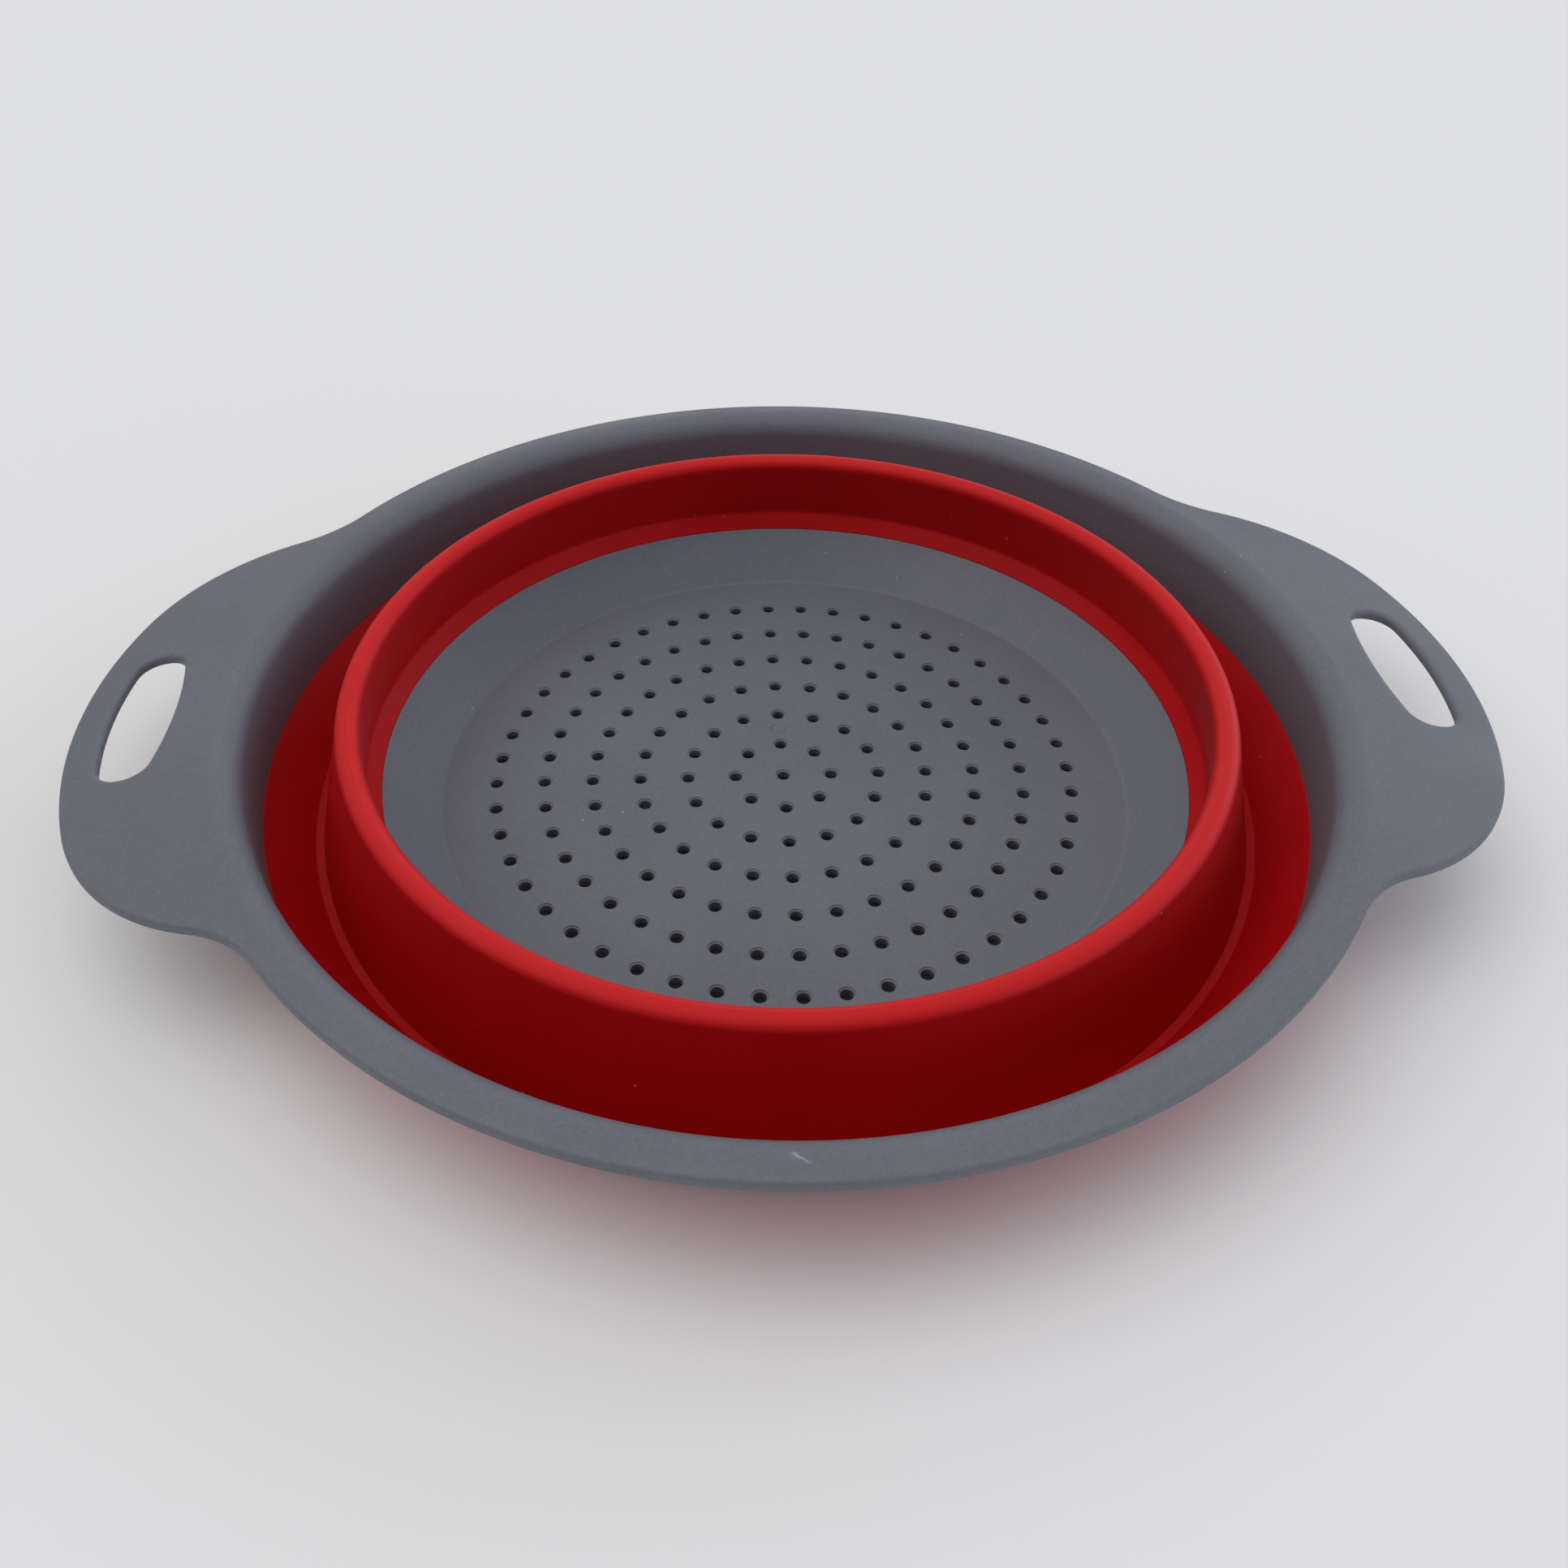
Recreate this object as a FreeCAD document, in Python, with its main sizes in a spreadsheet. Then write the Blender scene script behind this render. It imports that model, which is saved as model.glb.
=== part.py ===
"""Folding colander, folded flat: grey rim with two handles, red folding wall, grey strainer base.

Millimetres, +Z up. The origin is on the axis of the bowl, at the height of the surface that the feet
stand on. The handles lie along X. The real colander is three mouldings. The flexible wall is drawn as the
six zones that move as units when the colander opens: three on the base, one that turns over, and two on
the rim. The rim moulding is drawn as its skirt, its two handles and the flange between them.
"""
import FreeCAD, Part
import math
import os

import Sketcher

Vector = FreeCAD.Vector
doc = FreeCAD.newDocument("FoldingColander")

# ---------------------------------------------------------------- driving dimensions
DIMENSIONS = {
    # strainer base
    "feet_height": 3.0,
    "feet_root": 0.5,
    "feet_radius_in": 66.0,
    "feet_radius_out": 72.0,
    "feet_arc": 24.0,
    "feet_count": 4,
    "floor_thickness": 2.2,
    "floor_radius": 74.0,
    "flare_radius": 84.9,
    "flare_rise": 9.2,
    "flare_depth": 2.9,
    "tongue_step": 1.5,
    "tongue_width": 1.0,
    "tongue_rise": 1.0,
    "floor_fillet": 4.0,
    "drain_hole_radius": 1.35,
    "drain_bore_radius": 1.8,
    "drain_bore_depth": 0.5,
    "drain_pitch": 10.43,
    "drain_rings": 6,
    "drain_holes_per_ring": 8,
    "drain_twist": -1.16,
    # folding wall
    "wall": 1.8,
    "wall_across": 1.86,
    "bond_gap": 0.1,
    "ledge_radius": 87.6,
    "ledge_rise": 3.5,
    "bond_lip_out": 89.4,
    "bond_lip_in": 84.0,
    "bond_lip_toe": 85.0,
    "bond_lip_low": 9.6,
    "bond_lip_side": 12.6,
    "crest_radius": 89.1,
    "crest_height": 30.7,
    "crest_roll": 2.6,
    "fold_gap": 0.3,
    "crease_radius": 98.3,
    "crease_height": 5.2,
    "crease_depth": 1.9,
    "crease_width": 1.6,
    "crease_toe": 0.6,
    "band_toe": 1.4,
    "collar_offset_out": 1.33,
    "collar_offset_down": 1.22,
    # rim and handles
    "skirt_radius": 108.7,
    "skirt_height": 14.5,
    "skirt_thickness": 1.5,
    "skirt_foot": 1.0,
    "rib_low": 17.6,
    "rib_high": 18.6,
    "rib_out": 0.4,
    "lap_turn": 108.6,
    "lap_radius": 111.6,
    "lap_low": 16.6,
    "lap_high": 20.0,
    "lip_radius": 110.2,
    "lip_height": 32.8,
    "lip_fillet": 5.0,
    "lip_under_fillet": 3.5,
    "flange_start": 116.0,
    "plate_depth": 2.3,
    "droop": 9.4,
    "rim_radius": 119.2,
    "handle_reach": 145.4,
    "tip_radius": 93.0,
    "tip_angle": 21.25,
    "shoulder_radius": 45.6,
    "shoulder_x": 109.47,
    "shoulder_y": 60.92,
    "neck_radius": 24.9,
    "neck_angle": 36.05,
    "blank_margin": 5.0,
    "trim_margin": 20.0,
    "slot_side_in": 127.3,
    "slot_side_out": 136.05,
    "slot_half_length": 19.6,
    "slot_bow_radius": 83.0,
    "slot_corner": 5.0,
}

sheet = doc.addObject("Spreadsheet::Sheet", "Sizes")
for row, (name, number) in enumerate(DIMENSIONS.items(), start=1):
    sheet.set(f"A{row}", name)
    sheet.set(f"B{row}", str(number))
    sheet.setAlias(f"B{row}", name)
doc.recompute()


class Size:
    """A number together with the sheet expression that gives it."""

    def __init__(self, value, text):
        self.value = value
        self.text = text

    def _joined(self, other, sign, value):
        text = other.text if isinstance(other, Size) else str(other)
        return Size(value, f"({self.text} {sign} {text})")

    def __add__(self, other):
        return self._joined(other, "+", self.value + number_of(other))

    def __sub__(self, other):
        return self._joined(other, "-", self.value - number_of(other))

    def __mul__(self, other):
        return self._joined(other, "*", self.value * number_of(other))

    def __truediv__(self, other):
        return self._joined(other, "/", self.value / number_of(other))

    def __neg__(self):
        return self * -1


def number_of(item):
    return item.value if isinstance(item, Size) else item


def size(name):
    return Size(float(DIMENSIONS[name]), f"Sizes.{name}")


def cosine(angle):
    return Size(math.cos(math.radians(angle.value)), f"cos({angle.text})")


def sine(angle):
    return Size(math.sin(math.radians(angle.value)), f"sin({angle.text})")


def tangent(angle):
    return Size(math.tan(math.radians(angle.value)), f"tan({angle.text})")


ZERO = Size(0.0, "0")


# ---------------------------------------------------------------- helpers
def new_body(name):
    body = doc.addObject("PartDesign::Body", name)
    body.Label = name
    return body


def origin_item(body, role):
    return next(item for item in body.Origin.OriginFeatures if item.Role == role)


def new_sketch(body, name, role):
    sketch = body.newObject("Sketcher::SketchObject", name)
    sketch.AttachmentSupport = [(origin_item(body, role), "")]
    sketch.MapMode = "FlatFace"
    return sketch


def bind(sketch, kind, places, target):
    """Adds a constraint with a value and ties it to the sheet."""
    index = sketch.addConstraint(Sketcher.Constraint(kind, *places, target.value))
    sketch.setExpression(f"Constraints[{index}]", target.text)


def fix_point(sketch, geometry, end, point):
    """Puts one end of a line or arc at a pair of sizes."""
    for kind, axis, target in (("DistanceX", -2, point[0]), ("DistanceY", -1, point[1])):
        if target is ZERO:
            sketch.addConstraint(Sketcher.Constraint("PointOnObject", geometry, end, axis))
        else:
            bind(sketch, kind, (-1, 1, geometry, end), target)


def arc_between(first, last, radius, turns_left):
    """The short arc from first to last, turning left or right, and whether it runs that way round."""
    chord = last - first
    side = Vector(-chord.y, chord.x, 0).normalize() * (1 if turns_left else -1)
    height = math.sqrt(max(radius**2 - chord.Length**2 / 4, 0))
    centre = (first + last) / 2 + side * height
    begin, finish = (first, last) if turns_left else (last, first)
    angles = [math.atan2(p.y - centre.y, p.x - centre.x) for p in (begin, finish)]
    if angles[1] < angles[0]:
        angles[1] += 2 * math.pi
    circle = Part.Circle(centre, Vector(0, 0, 1), radius)
    return Part.ArcOfCircle(circle, *angles)


def draw(sketch, corners, arcs=None):
    """Closed outline through corners, pairs of sizes. arcs gives {edge number: (radius, turns left)}."""
    arcs = arcs or {}
    edges = []
    for i, corner in enumerate(corners):
        following = corners[(i + 1) % len(corners)]
        first, last = (Vector(p[0].value, p[1].value, 0) for p in (corner, following))
        if i in arcs:
            radius, turns_left = arcs[i]
            index = sketch.addGeometry(arc_between(first, last, radius.value, turns_left))
            edges.append((index, 1, 2) if turns_left else (index, 2, 1))
        else:
            edges.append((sketch.addGeometry(Part.LineSegment(first, last)), 1, 2))
    for i, (index, begin, _) in enumerate(edges):
        before, _, finish = edges[i - 1]
        sketch.addConstraint(Sketcher.Constraint("Coincident", before, finish, index, begin))
        fix_point(sketch, index, begin, corners[i])
        if i in arcs:
            bind(sketch, "Radius", (index,), arcs[i][0])


def revolve(body, name, corners, arcs=None, angle=None):
    """Turns an outline of (radius, height) corners about the Z axis."""
    sketch = new_sketch(body, f"{name}_sketch", "XZ_Plane")
    draw(sketch, corners, arcs)
    turned = body.newObject("PartDesign::Revolution", name)
    turned.Profile = sketch
    turned.ReferenceAxis = (sketch, ["V_Axis"])
    if angle is not None:
        turned.Midplane = True
        turned.setExpression("Angle", angle.text)
    doc.recompute()
    return turned


def cut_up(body, name, outlines, start=None):
    """Cuts closed outlines away from a level, the ground if none is given, right up through the body."""
    before = body.Shape.Volume
    sketch = new_sketch(body, f"{name}_sketch", "XY_Plane")
    if start is not None:
        sketch.setExpression("AttachmentOffset.Base.z", start.text)
    for draw_outline in outlines:
        draw_outline(sketch)
    pocket = body.newObject("PartDesign::Pocket", name)
    pocket.Profile = sketch
    pocket.Type = "ThroughAll"
    pocket.Reversed = True
    doc.recompute()
    if body.Shape.Volume > before - 1:
        raise RuntimeError(f"{name} cut nothing")
    return pocket


def repeat_around(body, name, features, count):
    """Repeats features evenly about the Z axis. count is a size."""
    pattern = body.newObject("PartDesign::PolarPattern", name)
    pattern.Originals = features
    pattern.Axis = (origin_item(body, "Z_Axis"), [""])
    pattern.Angle = 360
    pattern.setExpression("Occurrences", count.text)
    body.Tip = pattern
    doc.recompute()
    return pattern


def circle_edges(shape, radius, height):
    """Names of the circular edges of this radius and height."""
    names = []
    for number, edge in enumerate(shape.Edges, start=1):
        curve = edge.Curve
        if isinstance(curve, Part.Circle):
            if abs(curve.Radius - radius) < 0.01 and abs(curve.Center.z - height) < 0.01:
                names.append(f"Edge{number}")
    return names


def fillet(body, name, base, edges, radius):
    if not edges:
        raise RuntimeError(f"{name} has no edges")
    rounded = body.newObject("PartDesign::Fillet", name)
    rounded.Base = (base, edges)
    rounded.setExpression("Radius", radius.text)
    doc.recompute()
    return rounded


# ---------------------------------------------------------------- heights used by several zones
floor_top = size("feet_height") + size("floor_thickness")
flare_top = floor_top + size("flare_rise")
ledge_top = flare_top + size("ledge_rise")
tongue_in = size("flare_radius") + size("tongue_step")
tongue_out = tongue_in + size("tongue_width")
tongue_top = flare_top + size("tongue_rise")
flare_slope = size("flare_rise") / (size("flare_radius") - size("floor_radius"))


def under_flare(radius):
    """Height of the flare's underside at a radius."""
    return floor_top - size("flare_depth") + (radius - size("floor_radius")) * flare_slope


# ---------------------------------------------------------------- strainer base
def make_strainer():
    """Shallow dish: flat floor, flared wall, and an upright tongue that the wall is moulded round."""
    body = new_body("strainer_base")
    bend = size("floor_radius") + (size("flare_depth") - size("floor_thickness")) / flare_slope
    dish = revolve(body, "dish", [
        (ZERO, size("feet_height")),
        (bend, size("feet_height")),
        (tongue_out, under_flare(tongue_out)),
        (tongue_out, tongue_top),
        (tongue_in, tongue_top),
        (tongue_in, flare_top),
        (size("flare_radius"), flare_top),
        (size("floor_radius"), floor_top),
        (ZERO, floor_top),
    ])
    corner = circle_edges(body.Shape, size("floor_radius").value, floor_top.value)
    fillet(body, "floor_round", dish, corner, size("floor_fillet"))
    foot = revolve(body, "foot", [
        (size("feet_radius_in"), ZERO),
        (size("feet_radius_out"), ZERO),
        (size("feet_radius_out"), size("feet_height") + size("feet_root")),
        (size("feet_radius_in"), size("feet_height") + size("feet_root")),
    ], angle=size("feet_arc"))
    repeat_around(body, "feet", [foot], size("feet_count"))

    def disc(distance, radius):
        place = (ZERO, ZERO)
        if distance is not ZERO:
            twist = size("drain_twist")
            place = (distance * cosine(twist), distance * sine(twist))

        def draw_circle(sketch):
            centre = Vector(place[0].value, place[1].value, 0)
            index = sketch.addGeometry(Part.Circle(centre, Vector(0, 0, 1), radius.value))
            bind(sketch, "Radius", (index,), radius)
            fix_point(sketch, index, 3, place)
        return draw_circle

    def drain(name, distance):
        """A hole through the floor with a shallow wider bore at its top."""
        hole = cut_up(body, f"{name}_hole", [disc(distance, size("drain_hole_radius"))])
        bore_floor = floor_top - size("drain_bore_depth")
        bore = cut_up(body, f"{name}_bore", [disc(distance, size("drain_bore_radius"))], bore_floor)
        return [hole, bore]

    drain("middle", ZERO)
    for ring in range(1, DIMENSIONS["drain_rings"] + 1):
        features = drain(f"ring_{ring}", size("drain_pitch") * ring)
        repeat_around(body, f"drain_ring_{ring}", features, size("drain_holes_per_ring") * ring)
    return body


# ---------------------------------------------------------------- folding wall, on the base
def make_base_collar():
    """Ledge that rises from the strainer's edge, with the channel that grips its tongue."""
    body = new_body("wall_base_collar")
    gap = size("bond_gap")
    lip_in = size("bond_lip_in")
    channel_out = tongue_out + gap
    revolve(body, "ledge", [
        (size("flare_radius"), flare_top),
        (size("ledge_radius"), ledge_top),
        (size("bond_lip_out"), ledge_top),
        (size("bond_lip_out"), size("bond_lip_side")),
        (size("bond_lip_toe"), size("bond_lip_low")),
        (lip_in, under_flare(lip_in) - gap),
        (channel_out, under_flare(channel_out) - gap),
        (channel_out, tongue_top),
        (tongue_in - gap, tongue_top),
        (tongue_in - gap, flare_top),
    ])
    return body


def make_inner_band():
    """Nearly upright band from the ledge to the crest."""
    body = new_body("wall_inner_band")
    top_in = size("crest_radius") - size("crest_roll")
    revolve(body, "band", [
        (size("ledge_radius"), ledge_top),
        (top_in, size("crest_height")),
        (top_in + size("wall"), size("crest_height")),
        (size("bond_lip_out"), ledge_top),
    ])
    return body


def roll_height(offset, radius):
    """Height of the crest's round section at a distance from its middle."""
    rise = math.sqrt(radius.value**2 - offset.value**2)
    text = f"sqrt({radius.text} ^ 2 - {offset.text} ^ 2)"
    return size("crest_height") + Size(rise, text)


crest_inner = size("crest_roll") - size("wall")
half_gap = size("fold_gap") / 2


def make_crest_bead():
    """Inner half of the rolled crest, which the folding band leaves as it rises."""
    body = new_body("wall_crest_bead")
    edge = size("crest_radius") - half_gap
    top_in = size("crest_radius") - size("crest_roll")
    revolve(body, "bead", [
        (top_in, size("crest_height")),
        (edge, roll_height(half_gap, size("crest_roll"))),
        (edge, roll_height(half_gap, crest_inner)),
        (top_in + size("wall"), size("crest_height")),
    ], {0: (size("crest_roll"), False), 2: (crest_inner, True)})
    return body


# ---------------------------------------------------------------- folding wall, turning band
def make_fold_band():
    """Band between the two living hinges, with the outer half of the rolled crest."""
    body = new_body("wall_fold_band")
    edge = size("crest_radius") + half_gap
    top_out = size("crest_radius") + size("crest_roll")
    toe = size("crease_height") - size("crease_depth")
    revolve(body, "band", [
        (edge, roll_height(half_gap, size("crest_roll"))),
        (top_out, size("crest_height")),
        (size("crease_radius"), size("crease_height")),
        (size("crease_radius"), toe),
        (size("crease_radius") - size("band_toe"), toe),
        (size("crease_radius") - size("wall_across"), size("crease_height")),
        (size("crest_radius") + crest_inner, size("crest_height")),
        (edge, roll_height(half_gap, crest_inner)),
    ], {0: (size("crest_roll"), False), 6: (crest_inner, True)})
    return body


# ---------------------------------------------------------------- folding wall, on the rim
crease_in = size("crease_radius") + size("fold_gap")
crease_out = crease_in + size("crease_width")
collar_under = (
    crease_out + size("collar_offset_out"),
    size("crease_height") - size("collar_offset_down"),
)


def make_crease_ring():
    """Flat hinge ring at the foot of the fold."""
    body = new_body("wall_crease_ring")
    low = size("crease_height") - size("crease_depth")
    revolve(body, "ring", [
        (crease_in, size("crease_height")),
        (crease_out, size("crease_height")),
        collar_under,
        (crease_out + size("crease_toe"), low),
        (crease_in, low),
    ])
    return body


def plate_top(radius):
    """Height of the drooping plate's upper face at a radius."""
    return size("lip_height") - (radius - size("lip_radius")) * tangent(size("droop"))


skirt_out = size("skirt_radius") + size("skirt_foot")
under = size("lip_radius") + size("skirt_thickness")
under_height = plate_top(under) - size("plate_depth")
skirt_lean = (under - skirt_out) / (under_height - size("skirt_height"))


def skirt_outside(height):
    """Outer radius of the skirt, which is thinner at its foot, at a height."""
    return skirt_out + (height - size("skirt_height")) * skirt_lean


def make_outer_collar():
    """Conical collar that rises from the crease to the skirt and laps over the rib round its foot."""
    body = new_body("wall_outer_collar")
    gap = size("bond_gap")
    lean = (size("skirt_height") - size("crease_height")) / (size("skirt_radius") - crease_out)
    turn = size("lap_turn")
    rib_low = size("rib_low") - gap
    rib_high = size("rib_high") + gap
    revolve(body, "collar", [
        (crease_out, size("crease_height")),
        (size("skirt_radius"), size("skirt_height")),
        (skirt_out + gap, size("skirt_height")),
        (skirt_outside(rib_low) + gap, rib_low),
        (skirt_outside(rib_low) + size("rib_out") + gap, rib_low),
        (skirt_outside(rib_high) + size("rib_out") + gap, rib_high),
        (skirt_outside(rib_high) + gap, rib_high),
        (skirt_outside(size("lap_high")) + gap, size("lap_high")),
        (size("lap_radius"), size("lap_high")),
        (size("lap_radius"), size("lap_low")),
        (turn, collar_under[1] + (turn - collar_under[0]) * lean),
        collar_under,
    ])
    return body


# ---------------------------------------------------------------- rim frame
def handle_outline():
    """Corners and arcs of the plan outline: two handles joined by two stretches of the round rim."""
    tip = (
        size("handle_reach") - size("tip_radius") + size("tip_radius") * cosine(size("tip_angle")),
        size("tip_radius") * sine(size("tip_angle")),
    )
    shoulder = (size("shoulder_x"), size("shoulder_y"))
    neck = (
        size("rim_radius") * cosine(size("neck_angle")),
        size("rim_radius") * sine(size("neck_angle")),
    )
    half = [tip, shoulder, neck]
    corners = []
    arcs = {}
    for x_sign, y_sign in ((1, 1), (-1, 1), (-1, -1), (1, -1)):
        forward = x_sign * y_sign > 0
        kinds = [
            (size("shoulder_radius"), True),
            (size("neck_radius"), False),
        ]
        stations = half if forward else half[::-1]
        closing = (size("rim_radius"), True) if forward else (size("tip_radius"), True)
        for step, (x, y) in enumerate(stations):
            arcs[len(corners)] = [*(kinds if forward else kinds[::-1]), closing][step]
            corners.append((x if x_sign > 0 else -x, y if y_sign > 0 else -y))
    return corners, arcs


def plate_section(first, last):
    """The plate's cut face between two radii."""
    return [
        (first, plate_top(first)),
        (last, plate_top(last)),
        (last, plate_top(last) - size("plate_depth")),
        (first, plate_top(first) - size("plate_depth")),
    ]


def make_rim_skirt():
    """Upright skirt with the rounded lip at its top and the gripped rib round its foot."""
    body = new_body("rim_skirt")
    start = size("flange_start")
    rib_low = size("rib_low")
    rib_high = size("rib_high")
    turned = revolve(body, "section", [
        (size("skirt_radius"), size("skirt_height")),
        (size("lip_radius"), size("lip_height")),
        (start, plate_top(start)),
        (start, plate_top(start) - size("plate_depth")),
        (under, under_height),
        (skirt_outside(rib_high), rib_high),
        (skirt_outside(rib_high) + size("rib_out"), rib_high),
        (skirt_outside(rib_low) + size("rib_out"), rib_low),
        (skirt_outside(rib_low), rib_low),
        (skirt_out, size("skirt_height")),
    ])
    lip = circle_edges(body.Shape, size("lip_radius").value, size("lip_height").value)
    rounded = fillet(body, "lip_round", turned, lip, size("lip_fillet"))
    corner = circle_edges(body.Shape, under.value, under_height.value)
    fillet(body, "lip_under_round", rounded, corner, size("lip_under_fillet"))
    return body


neck_x = size("rim_radius") * cosine(size("neck_angle"))
trim_limit = size("handle_reach") + size("trim_margin")


def rectangle(x_low, x_high, y_low, y_high):
    """Draws a rectangle. Its sides are sizes."""
    def draw_rectangle(sketch):
        draw(sketch, [(x_low, y_low), (x_high, y_low), (x_high, y_high), (x_low, y_high)])
    return draw_rectangle


def make_flange(name, side):
    """The flange's narrow stretch between the handles, at the back (side 1) or the front (side -1)."""
    body = new_body(name)
    revolve(body, "annulus", plate_section(size("flange_start"), size("rim_radius")))
    for end, outer in (("right", trim_limit), ("left", -trim_limit)):
        inner = neck_x if end == "right" else -neck_x
        sides = (inner, outer) if end == "right" else (outer, inner)
        cut_up(body, f"{end}_end", [rectangle(*sides, -trim_limit, trim_limit)])
    other_half = (-trim_limit, ZERO) if side > 0 else (ZERO, trim_limit)
    cut_up(body, "other_half", [rectangle(-trim_limit, trim_limit, *other_half)])
    return body


def make_handle(name, side):
    """The drooping plate beyond the neck on one side, with its hanging slot."""
    body = new_body(name)
    blank = size("handle_reach") + size("blank_margin")
    revolve(body, "blank", plate_section(size("flange_start"), blank))
    corners, arcs = handle_outline()

    def outside(sketch):
        index = sketch.addGeometry(Part.Circle(Vector(), Vector(0, 0, 1), trim_limit.value))
        sketch.addConstraint(Sketcher.Constraint("Coincident", index, 3, -1, 1))
        bind(sketch, "Radius", (index,), trim_limit)
        draw(sketch, corners, arcs)

    cut_up(body, "outline", [outside])
    away = (-trim_limit, neck_x) if side > 0 else (-neck_x, trim_limit)
    cut_up(body, "root", [rectangle(*away, -trim_limit, trim_limit)])

    def slot(sketch):
        ends = [(size("slot_side_in"), -1), (size("slot_side_out"), -1),
                (size("slot_side_out"), 1), (size("slot_side_in"), 1)]
        half = size("slot_half_length")
        points = [(x if side > 0 else -x, half if up > 0 else -half) for x, up in ends]
        bow = (size("slot_bow_radius"), side > 0)
        draw(sketch, points, {1: bow, 3: bow})

    slotted = cut_up(body, "slot", [slot])
    uprights = []
    for number, edge in enumerate(body.Shape.Edges, start=1):
        first, last = (v.Point for v in (edge.Vertexes[0], edge.Vertexes[-1]))
        upright = math.hypot(first.x - last.x, first.y - last.y) < 0.001
        if upright and abs(abs(first.y) - size("slot_half_length").value) < 0.01:
            uprights.append(f"Edge{number}")
    fillet(body, "slot_corners", slotted, uprights, size("slot_corner"))
    return body


# ---------------------------------------------------------------- build, check and export
bodies = [
    make_strainer(),
    make_base_collar(),
    make_inner_band(),
    make_crest_bead(),
    make_fold_band(),
    make_crease_ring(),
    make_outer_collar(),
    make_rim_skirt(),
    make_handle("right_handle", 1),
    make_handle("left_handle", -1),
    make_flange("back_flange", 1),
    make_flange("front_flange", -1),
]
doc.recompute()

for item in doc.Objects:
    if "Invalid" in item.State or "Error" in item.State:
        raise RuntimeError(f"{item.Name} failed: {item.State}")

os.makedirs("parts", exist_ok=True)
for body in bodies:
    shape = body.Shape
    if shape.isNull() or not shape.isValid() or len(shape.Solids) != 1:
        raise RuntimeError(f"{body.Label} is not one valid solid")
    shape.exportStep(f"parts/{body.Label}.step")
    box = shape.BoundBox
    print(f"{body.Label}: {shape.Volume / 1000:.2f} cm3, "
          f"x {box.XMin:.1f}..{box.XMax:.1f}, y {box.YMin:.1f}..{box.YMax:.1f}, "
          f"z {box.ZMin:.2f}..{box.ZMax:.2f}")
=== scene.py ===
import math

import bmesh
import bpy
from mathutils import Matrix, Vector
from mathutils.geometry import delaunay_2d_cdt


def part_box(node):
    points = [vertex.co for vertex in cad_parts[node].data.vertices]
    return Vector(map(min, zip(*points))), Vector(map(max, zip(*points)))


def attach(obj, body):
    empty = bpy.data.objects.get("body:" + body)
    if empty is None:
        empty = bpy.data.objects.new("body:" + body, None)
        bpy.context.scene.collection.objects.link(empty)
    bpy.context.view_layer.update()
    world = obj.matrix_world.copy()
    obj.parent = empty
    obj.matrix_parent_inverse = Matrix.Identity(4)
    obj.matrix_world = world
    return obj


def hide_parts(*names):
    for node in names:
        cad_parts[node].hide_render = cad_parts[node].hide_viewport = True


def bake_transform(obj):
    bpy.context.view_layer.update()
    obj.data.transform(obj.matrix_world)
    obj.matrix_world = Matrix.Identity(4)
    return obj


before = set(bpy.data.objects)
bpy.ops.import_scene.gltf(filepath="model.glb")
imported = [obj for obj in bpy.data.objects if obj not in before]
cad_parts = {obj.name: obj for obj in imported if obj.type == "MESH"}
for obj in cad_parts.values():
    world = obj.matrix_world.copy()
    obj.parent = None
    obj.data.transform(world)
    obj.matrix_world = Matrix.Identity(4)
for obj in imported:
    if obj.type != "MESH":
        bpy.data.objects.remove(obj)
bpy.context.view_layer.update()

# A folding colander, folded flat, with +Z up and the handles along X. Its sizes are in millimetres, and
# become metres as each mesh is made. Sections are (radius, height) corners, turned about the Z axis.
MM = 0.001
TURN_SEGMENTS, RIM_SEGMENTS, HOLE_SIDES = 288, 360, 24
ARC_STEP = 7.0  # degrees between the points of a rounded corner
SECTION_STEP, FOLD_STEP, COLLAR_STEP = 3.0, 0.8, 2.5  # longest straights of the sections
HOLD = 0.25  # distance from a corner of the point that keeps the straight beside it flat
RIM_SPACING, FLOOR_SPACING = 3.2, 3.4  # between the points inside a flat or conical face
CLEAR_SHARE = 0.6  # of that spacing, kept free along the face's borders

# ------------------------------------------------------------------ sizes, in millimetres
RIM_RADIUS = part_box("back_flange")[1].y / MM
HANDLE_REACH = min(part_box("right_handle")[1].x, -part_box("left_handle")[0].x) / MM
FEET_HEIGHT = 3.0
FLOOR_TOP = 5.2
FLOOR_RADIUS, FLOOR_FILLET = 74.0, 1.5
FLARE_RADIUS, FLARE_TOP = 84.9, 14.4
FLARE_DEPTH = 2.9
TONGUE_IN, TONGUE_OUT, TONGUE_TOP = 86.4, 87.4, 15.4
LEDGE_RADIUS, LEDGE_TOP = 87.6, 17.9
BOND_LIP_OUT = 89.4
CREST_RADIUS, CREST_HEIGHT = 89.1, 30.69
CREST_ROLL, WALL = 2.6, 1.8
CREASE_RADIUS, CREASE_HEIGHT = 98.3, 5.2
CREASE_OUT, CREASE_TOE, CREASE_DEPTH = 100.0, 100.6, 1.9
WALL_ACROSS = 1.86
SKIRT_RADIUS, SKIRT_HEIGHT = 108.7, 14.5
SKIRT_FOOT, SKIRT_THICKNESS = 0.7, 1.5
LIP_RADIUS, LIP_HEIGHT = 110.2, 32.8
LIP_FILLET = 5.0
FLANGE_START = 116.2
DROOP = math.tan(math.radians(9.4))
PLATE_DEPTH = 2.3
EDGE_ROUND, SLOT_ROUND, UNDER_ROUND = 0.7, 1.2, 0.5
EDGE_MARGIN = 0.5

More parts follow.
